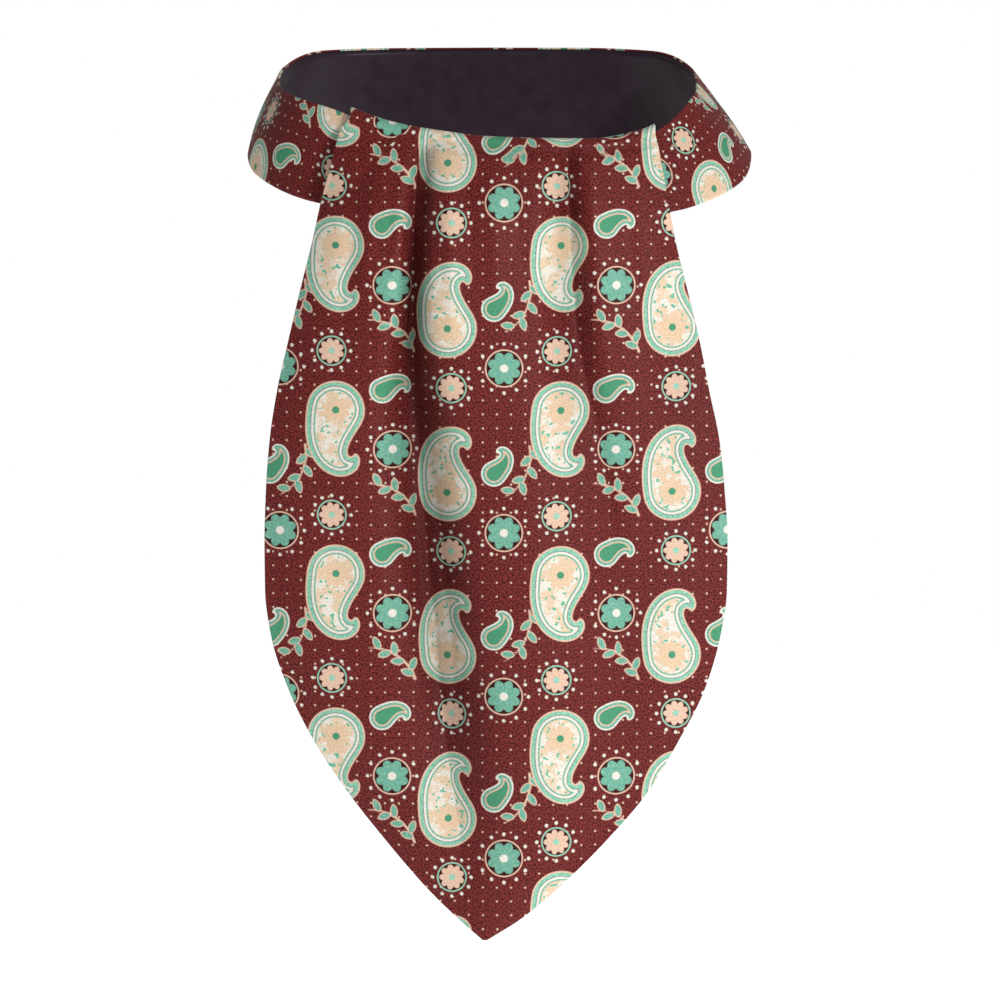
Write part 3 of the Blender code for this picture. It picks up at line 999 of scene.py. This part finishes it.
def lengths_down(points):
    """How far down the cloth each point of a grid lies from the first row."""
    run = np.linalg.norm(np.diff(points, axis=0), axis=-1)
    return np.concatenate([np.zeros((1, points.shape[1])), np.cumsum(run, axis=0)])


def lengths_across(points):
    """How far along its middle row each column of a grid lies from the first."""
    middle = points[points.shape[0] // 2]
    run = np.linalg.norm(np.diff(middle, axis=0), axis=-1)
    return np.concatenate([[0.0], np.cumsum(run)])


# Where each stretch's print begins on the chart
NAPE_PRINT = 40.0
LEFT_WING_PRINT = 610.0
RIGHT_WING_PRINT = 1180.0

# How far each face's print is moved across on the chart
BLADE_LINING_MOVED = 120.0
UNDER_BLADE_MOVED = 60.0
UNDER_BLADE_BACK_MOVED = -150.0

# How many columns and rows of points each face has
BLADE_COLUMNS = 225
BLADE_FALL_ROWS = 364
RETURN_ROWS = 16
ROLL_ROWS = 18
UNDER_BLADE_COLUMNS = 161
UNDER_BLADE_ROWS = 281
BAND_COLUMNS = 261
BAND_ROWS = 69
LINING_COLUMNS = 480
LINING_ROWS = 40

# How deep inside the ring the blade begins and where its roll takes over, how far a face lies
# out from its middle surface, and how the lining lies there and round the rim
RETURN_FROM = 24.0
RETURN_TO = 1.0
FACE_OUT = 0.45
LINING_FACE_OUT = 0.4
TURNED_EDGE_STEPS = 4
RIM_LINED = (0.2, 0.3, 0.6)
RIM_OUT = (0.3, -0.3, -0.9)

# Each stretch of the band: piece, node, its two bearings, where its print begins, its cut's size in
# metres and its flat area
STRETCHES = (
    (
        "nape_band",
        "neckband",
        -NAPE_HALF_SPREAD,
        NAPE_HALF_SPREAD,
        NAPE_PRINT,
        (0.178, 0.048),
        0.008,
    ),
    (
        "left_wing",
        "wing_left",
        NAPE_HALF_SPREAD + SEAM_SPREAD,
        CROSSING_END,
        LEFT_WING_PRINT,
        (0.178, 0.038),
        0.0056,
    ),
    (
        "right_wing",
        "wing_right",
        CROSSING_START,
        360 - NAPE_HALF_SPREAD - SEAM_SPREAD,
        RIGHT_WING_PRINT,
        (0.178, 0.038),
        0.0056,
    ),
)


def turned_under(middle, out):
    """The cloth's face with its edges turned under, from its middle surface and what way is out."""
    angles = np.linspace(np.pi, 0.0, TURNED_EDGE_STEPS, endpoint=False)[:, None, None]
    for _ in range(2):
        ends = []
        for edge, beside, edge_out in ((middle[0], middle[1], out[0]), (middle[-1], middle[-2], out[-1])):
            away = edge - beside
            away = away / np.maximum(np.linalg.norm(away, axis=-1, keepdims=True), 1e-6)
            ends.append(np.cos(angles) * edge_out + np.sin(angles) * away)
        out = np.concatenate([ends[0], out, ends[1][::-1]])
        middle = np.pad(middle, ((TURNED_EDGE_STEPS, TURNED_EDGE_STEPS), (0, 0), (0, 0)), mode="edge")
        middle = middle.swapaxes(0, 1)
        out = out.swapaxes(0, 1)
    return middle + out * FACE_OUT


def with_edges(values):
    """A chart's values over a face whose edges are turned under."""
    return np.pad(values, TURNED_EDGE_STEPS, mode="edge")


def blade_chart(middle, top):
    """The chart's places on a blade seen from in front, and by length above its top row."""
    chart_x = BLADE_CHART_X + middle[..., 0] / UNIT
    chart_y = BLADE_CHART_Y - (middle[..., 2] - BLADE_CHART_Z) / UNIT
    down = lengths_down(middle)
    chart_y[:top] = chart_y[top] + (down - down[top])[:top] / UNIT
    return chart_x, chart_y


def dress(piece, slot, *nodes):
    """Fastens a piece to the one body and hides the solids that it stands for. The finish given as slot is
    not used.
    """
    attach(piece, "root")
    if nodes:
        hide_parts(*nodes)
    return piece


def make_front_blade(printed):
    """The front blade: its printed face, turned under at the edges, and the self-lining behind."""
    parts = np.linspace(0.0, 1.0, BLADE_COLUMNS)
    return_depths = np.linspace(RETURN_FROM, RETURN_TO, RETURN_ROWS)
    roll_angles = np.linspace(np.pi, 0.0, ROLL_ROWS)
    drops = np.linspace(BLADE_FALL_FROM, BLADE_OUTLINE[-1][0], BLADE_FALL_ROWS)
    middle = front_blade_grid(parts, return_depths, roll_angles, drops)
    top = return_depths.size + roll_angles.size - 1
    out = facing(middle)
    chart_x, chart_y = blade_chart(middle, top)
    points = turned_under(middle, out)
    face = cloth_mesh(
        "blade_face", points, printed, with_edges(chart_x), with_edges(chart_y), shaded=True
    )
    dress(face, "printed_silk", "front_blade")
    behind = middle[::2, ::2] - out[::2, ::2] * FACE_OUT
    back_x = chart_x[::2, ::2] + BLADE_LINING_MOVED
    back = cloth_mesh("blade_lining", behind, printed, back_x, chart_y[::2, ::2])
    dress(back, "printed_silk")


def make_under_blade(printed):
    """The under blade, which the front blade hides from in front."""
    parts = np.linspace(0.0, 1.0, UNDER_BLADE_COLUMNS)
    middle = under_blade_grid(parts, np.linspace(0.0, 1.0, UNDER_BLADE_ROWS))
    chart_x, chart_y = blade_chart(middle, 0)
    chart_x = chart_x + UNDER_BLADE_MOVED
    out = facing(middle)
    points = turned_under(middle, out)
    face = cloth_mesh("under_blade_face", points, printed, with_edges(chart_x), with_edges(chart_y))
    dress(face, "printed_silk", "under_blade")
    behind = middle[::2, ::2] - out[::2, ::2] * FACE_OUT
    back_x = chart_x[::2, ::2] + UNDER_BLADE_BACK_MOVED
    back = cloth_mesh("under_blade_back", behind, printed, back_x, chart_y[::2, ::2])
    dress(back, "printed_silk")


def band_chart(points, print_start):
    """A band's chart, by the cloth's own lengths across and down."""
    chart_x = print_start + lengths_across(points) / UNIT
    return np.broadcast_to(chart_x, points.shape[:2]), lengths_down(points) / UNIT


def make_band(printed, plum):
    """The ring: nape stretch, both wings, and the satin lining inside them."""
    downs = np.linspace(0.0, 1.0, BAND_ROWS)
    for name, node, start, end, print_start, cut, area in STRETCHES:
        bearings = np.linspace(start, end, BAND_COLUMNS)
        lift = crossing_lift(bearings) if node == "wing_left" else WING_OUT
        middle = band_grid(bearings, downs, lift)
        chart_x, chart_y = band_chart(middle, print_start)
        points = turned_under(middle, facing(middle))
        piece = cloth_mesh(name, points, printed, with_edges(chart_x), with_edges(chart_y))
        dress(piece, "printed_silk", node)
    band_height = BAND_EDGES[0][1] - BAND_EDGES[0][2]
    lined = np.linspace(LINING_DROP, band_height - LINING_DROP, LINING_ROWS) / band_height
    all_round = np.linspace(0.0, 360.0, LINING_COLUMNS, endpoint=False)
    lined = np.concatenate([lined[:1] * np.array(RIM_LINED), lined])
    lining_out = np.full((lined.size, 1), LINING_OUT - LINING_FACE_OUT)
    lining_out[: len(RIM_LINED), 0] = RIM_OUT
    points = band_grid(all_round, lined, lining_out, round_the_neck=True)
    chart_x = np.broadcast_to(lengths_across(points) / UNIT, points.shape[:2]).copy()
    chart_y = lengths_down(points) / UNIT
    lining = cloth_mesh("satin_lining", points, plum, chart_x, chart_y, False, round_the_neck=True)
    dress(lining, "plum_satin", "neckband_lining")
    return points


def lit_world():
    """A white world that lights the cloth more softly than it shows."""
    world = bpy.data.worlds.new("studio_white")
    world.use_nodes = True
    nodes = world.node_tree.nodes
    links = world.node_tree.links
    shown = nodes["Background"]
    shown.inputs["Color"].default_value = (1.0, 1.0, 1.0, 1.0)
    shown.inputs["Strength"].default_value = 1.0
    lighting = nodes.new("ShaderNodeBackground")
    lighting.inputs["Color"].default_value = (1.0, 1.0, 1.0, 1.0)
    lighting.inputs["Strength"].default_value = AMBIENT_STRENGTH
    rays = nodes.new("ShaderNodeLightPath")
    choice = nodes.new("ShaderNodeMixShader")
    links.new(rays.outputs["Is Camera Ray"], choice.inputs["Fac"])
    links.new(lighting.outputs[0], choice.inputs[1])
    links.new(shown.outputs[0], choice.inputs[2])
    links.new(choice.outputs[0], nodes["World Output"].inputs["Surface"])
    return world


def add_light(name, place, size, energy):
    lamp = bpy.data.lights.new(name, "AREA")
    lamp.shape = "DISK"
    lamp.size = size
    lamp.energy = energy
    light = bpy.data.objects.new(name, lamp)
    bpy.context.scene.collection.objects.link(light)
    light.location = place
    light.rotation_euler = (VIEW_MIDDLE - light.location).to_track_quat("-Z", "Y").to_euler()


def add_floor():
    """A large pale floor, well below the blade's tip."""
    half = FLOOR_SIZE / 2
    corners = [(-half, -half, 0.0), (half, -half, 0.0), (half, half, 0.0), (-half, half, 0.0)]
    mesh = bpy.data.meshes.new("floor")
    mesh.from_pydata(corners, [], [(0, 1, 2, 3)])
    floor = bpy.data.objects.new("floor", mesh)
    floor.location = (0.0, 0.0, FLOOR_HEIGHT)
    bpy.context.scene.collection.objects.link(floor)
    material = bpy.data.materials.new("pale_floor")
    material.use_nodes = True
    shader = material.node_tree.nodes["Principled BSDF"]
    shader.inputs["Base Color"].default_value = (0.9, 0.9, 0.9, 1.0)
    shader.inputs["Roughness"].default_value = 0.9
    shader.inputs["Emission Color"].default_value = (1.0, 1.0, 1.0, 1.0)
    shader.inputs["Emission Strength"].default_value = FLOOR_GLOW
    mesh.materials.append(material)


def make_stage():
    """A pale floor well below the tip, a white world, one soft light and the camera."""
    scene = bpy.context.scene
    scene.world = lit_world()
    scene.view_settings.view_transform = "Standard"
    add_light("key", KEY_PLACE, KEY_SIZE, KEY_ENERGY)
    add_floor()
    lens = bpy.data.cameras.new("camera")
    camera = bpy.data.objects.new("camera", lens)
    scene.collection.objects.link(camera)
    lens.sensor_width = SENSOR_WIDTH
    lens.lens = SENSOR_WIDTH * VIEW_DISTANCE / VIEW_WIDTH
    off = Vector((0.0, -np.cos(VIEW_ELEVATION), np.sin(VIEW_ELEVATION)))
    camera.location = VIEW_MIDDLE + off * VIEW_DISTANCE
    camera.rotation_euler = (-off).to_track_quat("-Z", "Y").to_euler()
    scene.camera = camera


def main():
    printed = printed_silk()
    plum = plum_satin()
    make_front_blade(printed)
    make_under_blade(printed)
    make_band(printed, plum)
    make_stage()


main()
